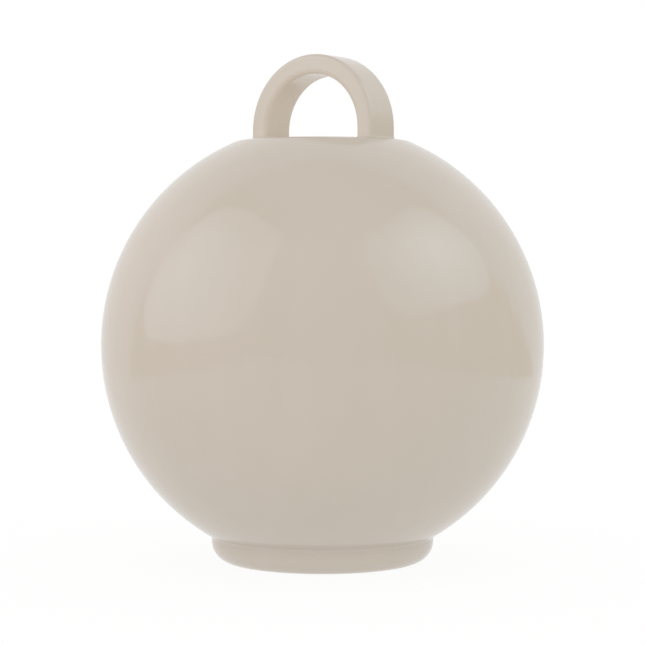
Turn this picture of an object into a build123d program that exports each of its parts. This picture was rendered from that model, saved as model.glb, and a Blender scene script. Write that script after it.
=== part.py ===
from build123d import *
import os
from math import hypot, sqrt

# Ball-shaped balloon weight: two moulded half shells around a cast ballast, closed by a plug under
# the foot. Millimetres, +Z up, origin in the middle of the foot's underside, loop in the XZ plane.

# Ball and the wall of both half shells
ball_radius = 27.5
wall = 1.8
inner_corner_round = 1.0

# Ribbon loop: a round arch on two short legs, a flat band in section
loop_inner_radius = 6.75
loop_thickness = 2.45
loop_depth = 5.2
loop_leg = 1.45
loop_edge_round = 0.6
loop_root_round = 0.4

# Flat landing that the loop stands on
landing_margin = 0.5
landing_edge_round = 2.4
landing_wall = 2.2

# Foot ring and the recess inside it
foot_radius = 13.85
foot_height = 3.2
foot_edge_round = 2.6
foot_root_round = 0.4
foot_land = 1.75
foot_inner_round = 0.4
floor_wall = 1.8

# Lap joint between the half shells, at the widest girth
lip_height = 2.0
lip_wall = 0.85
lip_gap = 0.1

# Filling hole and its plug
hole_radius = 4.5
plug_flange = 2.0
plug_head = 1.0
plug_head_clear = 0.5
plug_wall = 1.1
plug_reach = 2.4
plug_bead = 0.35
plug_gap = 0.05
plug_edge_round = 0.3

# Cast ballast
ballast_below_girth = 3.1
ballast_gap = 0.1

# Sizes that follow from these, with heights taken from the ball's centre; a low foot limits its round
loop_outer_radius = loop_inner_radius + loop_thickness
landing_radius = hypot(loop_outer_radius, loop_depth / 2) + landing_margin
landing_height = landing_edge_round + sqrt((ball_radius - landing_edge_round) ** 2 - landing_radius ** 2)
foot_drop = foot_height + sqrt(ball_radius ** 2 - foot_radius ** 2)
foot_round = min(foot_edge_round, foot_height - foot_root_round)
recess_radius = foot_radius - foot_round - foot_land
recess_top = -foot_drop + plug_head + plug_head_clear
floor_top = recess_top + floor_wall
cavity_radius = ball_radius - wall

# Half profiles are drawn in the XZ plane, about the ball's centre, and turned about Z
profile_plane = Plane(origin=(0, 0, foot_drop), x_dir=(1, 0, 0), z_dir=(0, -1, 0))


def band(inner, outer, low, high):
    """Rectangle of the half profile, from inner to outer radius and from low to high."""
    return Pos((inner + outer) / 2, (low + high) / 2) * Rectangle(outer - inner, high - low)


def rounded(face, radius, height, fillet_radius):
    """The profile with its corner at that radius and height rounded."""
    corner = face.vertices().sort_by_distance((radius, height, 0))[0]
    return fillet(corner, fillet_radius)


def turned(face):
    """Solid of revolution of a half profile."""
    return revolve(profile_plane * face, Axis.Z)


def outer_profile():
    """Half profile of the closed ball: landing on top, foot below, all outer corners rounded."""
    ball = Circle(ball_radius) & band(0, ball_radius, -foot_drop, landing_height)
    face = ball + band(0, foot_radius, -foot_drop, -foot_drop + foot_height)
    sharp_landing = sqrt(ball_radius ** 2 - landing_height ** 2)
    face = rounded(face, sharp_landing, landing_height, landing_edge_round)
    face = rounded(face, foot_radius, -foot_drop + foot_height, foot_root_round)
    return rounded(face, foot_radius, -foot_drop, foot_round)


def cavity_profile(gap, low, high):
    """Half profile of the space inside the wall, less a gap all round, between two heights."""
    radius = cavity_radius - gap
    return Circle(radius) & band(0, radius, low, high)


def ribbon_loop():
    """Arch on two legs, with its four long edges rounded, sunk into the landing by half its wall."""
    sunk = landing_height - landing_wall / 2
    arch_height = landing_height + loop_leg
    outline = Pos(0, arch_height) * Circle(loop_outer_radius)
    outline += band(-loop_outer_radius, loop_outer_radius, sunk, arch_height)
    opening = Pos(0, arch_height) * Circle(loop_inner_radius)
    opening += band(-loop_inner_radius, loop_inner_radius, sunk, arch_height)
    outline = outline & band(-loop_outer_radius, loop_outer_radius, sunk, arch_height + loop_outer_radius)
    loop = extrude(profile_plane * (outline - opening), loop_depth / 2, both=True)
    faces = loop.faces().sort_by(Axis.Y)
    foot_edges = loop.edges().group_by(Axis.Z)[0]
    rims = [edge for edge in faces[0].edges() + faces[-1].edges() if edge not in foot_edges]
    return fillet(rims, loop_edge_round)


def upper_shell():
    """Upper half: dome, landing and loop in one, with the lip that plugs into the lower half."""
    face = outer_profile() - cavity_profile(0, -foot_drop, landing_height - landing_wall)
    face = face & band(0, ball_radius, 0, landing_height)
    corner = landing_height - landing_wall
    face = rounded(face, sqrt(cavity_radius ** 2 - corner ** 2), corner, inner_corner_round)
    face += band(cavity_radius, cavity_radius + lip_wall, -lip_height, 0)
    shell = turned(face) + ribbon_loop()
    landing = shell.faces().sort_by_distance((0, 0, foot_drop + landing_height))[0]
    roots = [edge for wire in landing.inner_wires() for edge in wire.edges()]
    return fillet(roots, loop_root_round)


def lower_shell():
    """Lower half: bowl, foot ring and floor, with the rebate for the lip and the filling hole."""
    face = outer_profile() - cavity_profile(0, floor_top, landing_height)
    face = face & band(0, ball_radius, -foot_drop, 0)
    face = rounded(face, sqrt(cavity_radius ** 2 - floor_top ** 2), floor_top, inner_corner_round)
    face -= band(0, cavity_radius + lip_wall + lip_gap, -lip_height - lip_gap, 0)
    face -= band(0, recess_radius, -foot_drop, recess_top)
    face = rounded(face, recess_radius, -foot_drop, foot_inner_round)
    face = rounded(face, recess_radius, recess_top, foot_inner_round)
    face -= band(0, hole_radius, recess_top, floor_top)
    return turned(face)


def base_plug():
    """Stopper: flange in the recess, hollow shank through the hole, bead that snaps over the floor."""
    shank = hole_radius - plug_gap
    top = floor_top + plug_reach
    bottom = recess_top - plug_head
    face = band(0, shank, bottom, top) + band(0, hole_radius + plug_flange, bottom, recess_top)
    face = rounded(face, hole_radius + plug_flange, bottom, plug_edge_round)
    face = rounded(face, shank, top, plug_edge_round)
    face += Pos(shank, floor_top + plug_gap + plug_bead) * Circle(plug_bead)
    face -= band(0, shank - plug_wall, bottom, top - plug_wall)
    return turned(face)


def ballast():
    """Casting that lies on the floor, level on top, with a pocket around the end of the plug."""
    face = cavity_profile(ballast_gap, floor_top, -ballast_below_girth)
    reach = sqrt((cavity_radius - ballast_gap) ** 2 - floor_top ** 2)
    face = rounded(face, reach, floor_top, inner_corner_round)
    pocket = hole_radius + plug_bead + ballast_gap
    face -= band(0, pocket, floor_top, floor_top + plug_reach + ballast_gap)
    return turned(face)


pieces = {
    "upper_shell": upper_shell(),
    "lower_shell": lower_shell(),
    "ballast": ballast(),
    "base_plug": base_plug(),
}

os.makedirs("parts", exist_ok=True)
for name, piece in pieces.items():
    export_step(piece, f"parts/{name}.step")
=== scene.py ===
import math
import bmesh
import bpy
from mathutils import Matrix, Quaternion, Vector


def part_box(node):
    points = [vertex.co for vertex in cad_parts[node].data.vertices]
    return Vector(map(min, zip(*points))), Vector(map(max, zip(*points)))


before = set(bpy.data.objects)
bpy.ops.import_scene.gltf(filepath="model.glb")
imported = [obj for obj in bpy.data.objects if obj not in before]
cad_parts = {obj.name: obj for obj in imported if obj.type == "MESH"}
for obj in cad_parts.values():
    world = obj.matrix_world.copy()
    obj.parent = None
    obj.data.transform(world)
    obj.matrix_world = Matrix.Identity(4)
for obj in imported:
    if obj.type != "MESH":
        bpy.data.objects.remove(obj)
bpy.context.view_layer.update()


# Lower shell: the bowl, its foot ring and its floor, injection moulded in one from a glossy beige styrene.
# Its rim takes the upper half's lip, and the bonded seam at the girth is flush and buffed out.
# Years on tables leave the foot's standing ring scuffed and a little paler than the rest.
class Socket:
    """A shader socket that takes part in sums, differences and products."""

    def __init__(self, tree, link=None):
        self.tree = tree
        self.link = link

    def node(self, kind, settings=None, output=0, **inputs):
        """Another node of this tree: its settings first, then its sockets by name, or by place as i0, i1."""
        made = self.tree.nodes.new("ShaderNode" + kind)
        for name, value in (settings or {}).items():
            setattr(made, name, value)
        for name, value in inputs.items():
            place = int(name[1:]) if name[1:].isdigit() else name.replace("_", " ")
            if isinstance(value, Socket):
                self.tree.links.new(value.link, made.inputs[place])
            else:
                made.inputs[place].default_value = value
        return Socket(self.tree, made.outputs[output]) if made.outputs else None

    def maths(self, operation, first, second):
        return self.node("Math", {"operation": operation}, i0=first, i1=second)

    def __add__(self, other):
        return self.maths("ADD", self, other)

    def __radd__(self, other):
        return self.maths("ADD", other, self)

    def __sub__(self, other):
        return self.maths("SUBTRACT", self, other)

    def __rsub__(self, other):
        return self.maths("SUBTRACT", other, self)

    def __mul__(self, other):
        return self.maths("MULTIPLY", self, other)

    def __rmul__(self, other):
        return self.maths("MULTIPLY", other, self)


def first_socket(owner, kind, output):
    """Empties the shader of a material, world or lamp and gives it its first node."""
    owner.use_nodes = True
    owner.node_tree.nodes.clear()
    return Socket(owner.node_tree).node(kind, output=output)


def step(value, low, high, start=0.0, end=1.0):
    """Smooth change from start to end while the value goes from low to high."""
    return value.node("MapRange", {"interpolation_type": "SMOOTHSTEP"}, Value=value,
                      From_Min=low, From_Max=high, To_Min=start, To_Max=end)


noise_low = 0.35
noise_high = 0.65


def noise(place, size, detail=2.0):
    """Soft noise from 0 to 1, with features of about that size in metres."""
    return step(place.node("TexNoise", Vector=place, Scale=1 / size, Detail=detail), noise_low, noise_high)


def blend(factor, first, second):
    """A colour between two others."""
    return factor.node("Mix", {"data_type": "RGBA"}, 2, i0=factor, i6=first, i7=second)


def bumped(height):
    """Normal of a surface with that relief in metres."""
    return height.node("Bump", Height=height, Distance=1.0, Strength=1.0)


def dress(node, material):
    """Gives a CAD node its finish."""
    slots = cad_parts[node].data.materials
    slots.clear()
    slots.append(material)


shell_deep = (0.526, 0.471, 0.400, 1.0)
shell_pale = (0.544, 0.485, 0.416, 1.0)
cloud_size = 0.018
cloud_share = 0.65
streak_size = 0.0035
streak_run = (1.0, 1.0, 0.12)
plastic_ior = 1.47
buffed_roughness = 0.09
smudge_roughness = 0.03
smudge_size = 0.009
peel_size = 0.0026
peel_depth = 1.0e-6
sink_size = 0.016
sink_depth = 1.0e-5
scuffed = (0.60, 0.55, 0.48, 1.0)
scuff_share = 0.5
scuff_roughness = 0.3
scuff_depth = 2.0e-6
scratch_size = 0.0003
scratch_turn = (0, 0, 0.7)
scratch_run = (1.0, 0.06, 1.0)


def shell_plastic(name, worn):
    """Glossy styrene: cloudy pigment with faint flow streaks, a buffed skin, and scuffs where worn says."""
    material = bpy.data.materials.new(name)
    place = first_socket(material, "TexCoord", "Object")
    streaks = noise(place.node("Mapping", Vector=place, Scale=streak_run), streak_size)
    pigment = noise(place, cloud_size, detail=3.0) * cloud_share + streaks * (1 - cloud_share)
    scratched = place.node("Mapping", Vector=place, Rotation=scratch_turn, Scale=scratch_run)
    scuffs = worn(place) * noise(scratched, scratch_size)
    smudges = noise(place, smudge_size, detail=4.0)
    skin = noise(place, peel_size) * peel_depth + noise(place, sink_size, detail=1.0) * sink_depth
    place.node("OutputMaterial", Surface=place.node(
        "BsdfPrincipled",
        Base_Color=blend(scuffs * scuff_share, blend(pigment, shell_deep, shell_pale), scuffed),
        Roughness=buffed_roughness + smudges * smudge_roughness + scuffs * scuff_roughness,
        IOR=plastic_ior,
        Normal=bumped(skin - scuffs * scuff_depth),
    ))
    return material


worn_height = 0.0003


def foot_wear(place):
    """Full on the standing ring, gone a little way up the foot's round edge."""
    return step(place.node("SeparateXYZ", output="Z", Vector=place), 0.0, worn_height, 1.0, 0.0)


dress("lower_shell", shell_plastic("lower_shell_plastic", foot_wear))

# Ballast: a grey cement mortar, cast to the bowl's shape with a level top and a pocket for the plug's end.
# Sharp sand shows in its skin as paler and darker grains, with the small pits that air bubbles leave, their
# insides painted dark as shade.
mortar_dark = (0.30, 0.29, 0.275, 1.0)
mortar_pale = (0.50, 0.49, 0.465, 1.0)
mortar_roughness = 0.92
grain_size = 0.0007
grain_share = 0.6
grain_height = 8.0e-5
damp_size = 0.012
bubble_spacing = 0.0035
bubble_reach = 0.16
bubble_depth = 4.0e-4

mortar = bpy.data.materials.new("ballast_mortar")
place = first_socket(mortar, "TexCoord", "Object")
grains = place.node("TexVoronoi", output="Color", Vector=place, Scale=1 / grain_size)
grains = place.node("SeparateXYZ", Vector=grains)
tone = grains * grain_share + noise(place, damp_size, detail=4.0) * (1 - grain_share)
bubbles = place.node("TexVoronoi", output="Distance", Vector=place, Scale=1 / bubble_spacing)
# The pit mask both sinks the pits and paints them the darkest mortar colour: painted shade in the recesses.
pits_and_pit_shade = step(bubbles, bubble_reach / 2, bubble_reach, 1.0, 0.0)
place.node("OutputMaterial", Surface=place.node(
    "BsdfPrincipled",
    Base_Color=blend(pits_and_pit_shade, blend(tone, mortar_dark, mortar_pale), mortar_dark),
    Roughness=mortar_roughness,
    Normal=bumped(tone * grain_height - pits_and_pit_shade * bubble_depth),
))
dress("ballast", mortar)


# Upper shell: the dome, the flat landing and the ribbon loop in one moulding of the same glossy styrene.
# Its lip is bonded inside the lower half's rim, and ribbons rub the crown of the loop's opening dull.
loop_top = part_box("upper_shell")[1].z
loop_thickness = 0.00245
rubbed_reach = 0.0035
rubbed_run = (1.0, 0.3, 1.0)
rubbed_share = 0.6


def ribbon_wear(place):
    """Strongest at the middle of the opening's crown, and gone a few millimetres to each side."""
    crown = place.node("Mapping", Vector=place, Location=(0, 0, loop_thickness - loop_top), Scale=rubbed_run)
    off = place.node("VectorMath", {"operation": "LENGTH"}, "Value", i0=crown)
    return step(off, 0.0, rubbed_reach, rubbed_share, 0.0)


dress("upper_shell", shell_plastic("upper_shell_plastic", ribbon_wear))

# Base plug: a small stopper of the same colour, moulded matt in a spark-eroded tool.
# It snaps into the filling hole in the floor, and its flange lies in the recess inside the foot.
plug_deep = (0.505, 0.447, 0.379, 1.0)
plug_pale = (0.533, 0.473, 0.402, 1.0)
plug_cloud_size = 0.004
matt_roughness = 0.48
erosion_size = 0.00025
erosion_depth = 5.0e-6
erosion_roughness = 0.14

plug_plastic = bpy.data.materials.new("plug_plastic")
place = first_socket(plug_plastic, "TexCoord", "Object")
erosion = noise(place, erosion_size, detail=3.0)
place.node("OutputMaterial", Surface=place.node(
    "BsdfPrincipled",
    Base_Color=blend(noise(place, plug_cloud_size, detail=3.0), plug_deep, plug_pale),
    Roughness=matt_roughness + erosion * erosion_roughness,
    IOR=plastic_ior,
    Normal=bumped(erosion * erosion_depth),
))
dress("base_plug", plug_plastic)

# Card: a matt white sheet that the weight stands on, cut square and turned to face the camera.
# The camera sees it white but for the shadow, and the gloss a little greyer.
# From underneath, the camera looks through it.
photo_azimuth = math.radians(35.3)
towards_camera = Vector((math.sin(photo_azimuth), -math.cos(photo_azimuth), 0))
to_the_right = Vector((math.cos(photo_azimuth), math.sin(photo_azimuth), 0))
card_half_width = 0.145
card_front = 0.24
card_back = 0.56
card_drop = 0.00005
card_white = (0.86, 0.86, 0.86, 1.0)
card_shadow_share = 0.1
card_light = 0.93
card_seen = 1.02
card_mirrored = 0.92

card_paper = bpy.data.materials.new("card_paper")
camera_ray = first_socket(card_paper, "LightPath", "Is Camera Ray")
glossy_ray = camera_ray.node("LightPath", output="Is Glossy Ray")
seen_ray = camera_ray.node("LightPath", output="Is Transmission Ray") + camera_ray
brightness = card_light + seen_ray * (card_seen - card_light) + glossy_ray * (card_mirrored - card_light)
glow = camera_ray.node("Emission", Strength=brightness)
matt = camera_ray.node("BsdfDiffuse", Color=card_white)
lit = camera_ray.node("MixShader", i0=card_shadow_share, i1=glow, i2=matt)
below = camera_ray.node("NewGeometry", output="Backfacing") * camera_ray
clear = camera_ray.node("BsdfTransparent")
camera_ray.node("OutputMaterial", Surface=camera_ray.node("MixShader", i0=below, i1=lit, i2=clear))

shape = bmesh.new()
bmesh.ops.create_grid(shape, x_segments=1, y_segments=1, size=1.0)
bmesh.ops.scale(shape, vec=(card_half_width, (card_back + card_front) / 2, 1.0), verts=shape.verts)
bmesh.ops.translate(shape, vec=(0, (card_back - card_front) / 2, -card_drop), verts=shape.verts)
bmesh.ops.rotate(shape, matrix=Matrix.Rotation(photo_azimuth, 3, "Z"), verts=shape.verts)
card_mesh = bpy.data.meshes.new("card")
shape.to_mesh(card_mesh)
shape.free()
card_mesh.materials.append(card_paper)


def put_in_scene(name, data):
    """The object that holds a mesh, a lamp or a lens."""
    holder = bpy.data.objects.new(name, data)
    bpy.context.scene.collection.objects.link(holder)
    return holder


put_in_scene("card", card_mesh)

# Studio: a white backdrop behind the card, and the room around the camera, dimmer and warm to both sides.
# The camera sees white all round. The ball mirrors the backdrop, greyer low down, and its edge as an arch.
# The light comes from all round, a little warmer from the left and weaker from above.
white = (1.0, 1.0, 1.0, 1.0)
room_low = 1.325
room_top = 0.78
room_warm = (1.12, 1.075, 1.07, 1.0)
warm_reach = 0.1
backdrop_low = (0.88, 0.88, 0.88, 1.0)
backdrop_rise = 0.6
room_dim = (0.64, 0.59, 0.45, 1.0)
dim_ahead = 0.5
dim_start = 0.1
dim_end = 0.8
left_edge = 2.3
left_lean = 2.0
right_edge = 1.3
right_lean = 4.2
top_edge = 2.7
edge_soft = 0.1

world = bpy.data.worlds.new("studio")
bpy.context.scene.world = world
direction = first_socket(world, "TexCoord", "Generated")
height = direction.node("SeparateXYZ", output="Z", Vector=direction)
behind = direction.node("VectorMath", {"operation": "DOT_PRODUCT"}, "Value", i0=direction, i1=-towards_camera)
sideways = direction.node("VectorMath", {"operation": "DOT_PRODUCT"}, "Value", i0=direction, i1=to_the_right)
across = direction.node("Math", {"operation": "ABSOLUTE"}, i0=sideways)
edge = left_edge + height * left_lean
edge = edge + step(sideways, -edge_soft, edge_soft) * (right_edge + height * right_lean - edge)
within = step(behind * edge - across, -edge_soft, edge_soft)
within = within * step(behind * top_edge - height, -edge_soft, edge_soft)
dim = (1.0 - within) * step(across, dim_start, dim_end, dim_ahead, 1.0)
camera_ray = direction.node("LightPath", output="Is Camera Ray")
glossy_ray = direction.node("LightPath", output="Is Glossy Ray")
seen_ray = direction.node("LightPath", output="Is Transmission Ray") + camera_ray + glossy_ray
shed = room_low + direction.maths("MAXIMUM", height, 0.0) * (room_top - room_low)
lit = blend(step(sideways, -1.0, warm_reach, 1.0, 0.0), white, room_warm)
mirrored = blend(dim, blend(step(height, 0.0, backdrop_rise), backdrop_low, white), room_dim)
seen = blend(glossy_ray, white, mirrored)
direction.node("OutputWorld", Surface=direction.node(
    "Background",
    Color=blend(seen_ray, lit, seen),
    Strength=shed + seen_ray * (1.0 - shed),
))

# Lamps: an upright daylight panel to each side of the camera, of uneven round outline, with a brighter spot.
# They only show in the ball's gloss, because the room's own light is enough for the rest.
# A small lamp on the landing shines up at the loop, which the ball would shade too much on its own.
bowl_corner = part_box("lower_shell")[1]
ball_radius = bowl_corner.x
ball_centre = Vector((0, 0, bowl_corner.z))
panel_distance = 0.7
panel_colour = (0.82, 1.0, 1.2, 1.0)
corner_power = 4
corner_fade = 0.85
spot_reach = 0.5


def panel(name, azimuth, roll, half_width, bottom, top, lean, flat, spot, spot_place):
    """An upright lamp: azimuth, roll and half width in degrees, bottom and top in panel distances."""
    azimuth = math.radians(azimuth)
    outward = towards_camera * math.cos(azimuth) + to_the_right * math.sin(azimuth)
    lamp = bpy.data.lights.new(name, "AREA")
    lamp.shape = "RECTANGLE"
    lamp.size = 2 * panel_distance * math.tan(math.radians(half_width))
    lamp.size_y = panel_distance * (top - bottom)
    lamp.energy = math.pi * lamp.size * lamp.size_y
    front = first_socket(lamp, "NewGeometry", "Parametric")
    corner = front.node("VectorMath", {"operation": "MULTIPLY_ADD"}, i0=front, i1=(2, 2, 0), i2=(-1, -1, 0))
    across = corner.node("SeparateXYZ", output="X", Vector=corner)
    along = corner.node("SeparateXYZ", output="Y", Vector=corner)
    corner = corner.node("VectorMath", {"operation": "POWER"}, i0=corner, i1=(corner_power,) * 3)
    rim = corner.node("VectorMath", {"operation": "DOT_PRODUCT"}, "Value", i0=corner, i1=(1, 1, 1))
    rim = rim - across * along * lean
    off = front.node("VectorMath", {"operation": "DISTANCE"}, "Value", i0=front, i1=spot_place)
    radiance = step(rim, corner_fade, 1.0, 1.0, 0.0) * (flat + step(off, 0.0, spot_reach, spot, 0.0))
    front.node("OutputLight", Surface=front.node("Emission", Color=panel_colour, Strength=radiance))
    holder = put_in_scene(name, lamp)
    holder.location = ball_centre + panel_distance * (outward + Vector((0, 0, (top + bottom) / 2)))
    holder.rotation_mode = "QUATERNION"
    holder.rotation_quaternion = outward.to_track_quat("Z", "Y") @ Quaternion((0, 0, 1), math.radians(roll))
    holder.visible_camera = False
    holder.visible_diffuse = False


panel("left_panel", azimuth=-69, roll=0, half_width=36.5, bottom=0.03, top=1.82, lean=0.45,
      flat=0.70, spot=0.75, spot_place=(0.39, 0.34, 0))
panel("right_panel", azimuth=68, roll=5, half_width=39, bottom=0.28, top=1.72, lean=-0.1,
      flat=0.70, spot=1.25, spot_place=(0.57, 0.40, 0))

landing_lamp_drop = 0.01063
landing_lamp_width = 0.0196
landing_lamp_power = 0.00052
landing_light = bpy.data.lights.new("landing_light", "AREA")
landing_light.shape = "DISK"
landing_light.size = landing_lamp_width
landing_light.energy = landing_lamp_power
landing_lamp = put_in_scene("landing_light", landing_light)
landing_lamp.location = (0, 0, loop_top - landing_lamp_drop)
landing_lamp.rotation_euler = (math.pi, 0, 0)
landing_lamp.visible_camera = False
landing_lamp.visible_glossy = False

# Camera: close to the ball and a little above its girth, as in the photograph.
# The lens makes the ball as wide in the frame as it is there.
camera_distance = 9.3 * ball_radius
camera_elevation = math.radians(2.4)
aim_above_centre = 0.1025 * ball_radius
frame_pixels = 645
ball_pixels = 221.55

eye = ball_centre + camera_distance * (
    towards_camera * math.cos(camera_elevation) + Vector((0, 0, math.sin(camera_elevation))))
ahead = (ball_centre + Vector((0, 0, aim_above_centre)) - eye).normalized()
right = ahead.cross(Vector((0, 0, 1))).normalized()
up = right.cross(ahead)
lens = bpy.data.cameras.new("photo_camera")
lens.sensor_width = 36.0
half_view = math.asin(ball_radius / camera_distance)
lens.lens = lens.sensor_width * ball_pixels / (frame_pixels * math.tan(half_view))
lens.clip_start = 0.01
camera = put_in_scene("photo_camera", lens)
camera.matrix_world = Matrix.Translation(eye) @ Matrix((right, up, -ahead)).transposed().to_4x4()
bpy.context.scene.camera = camera
bpy.context.scene.view_settings.view_transform = "Standard"
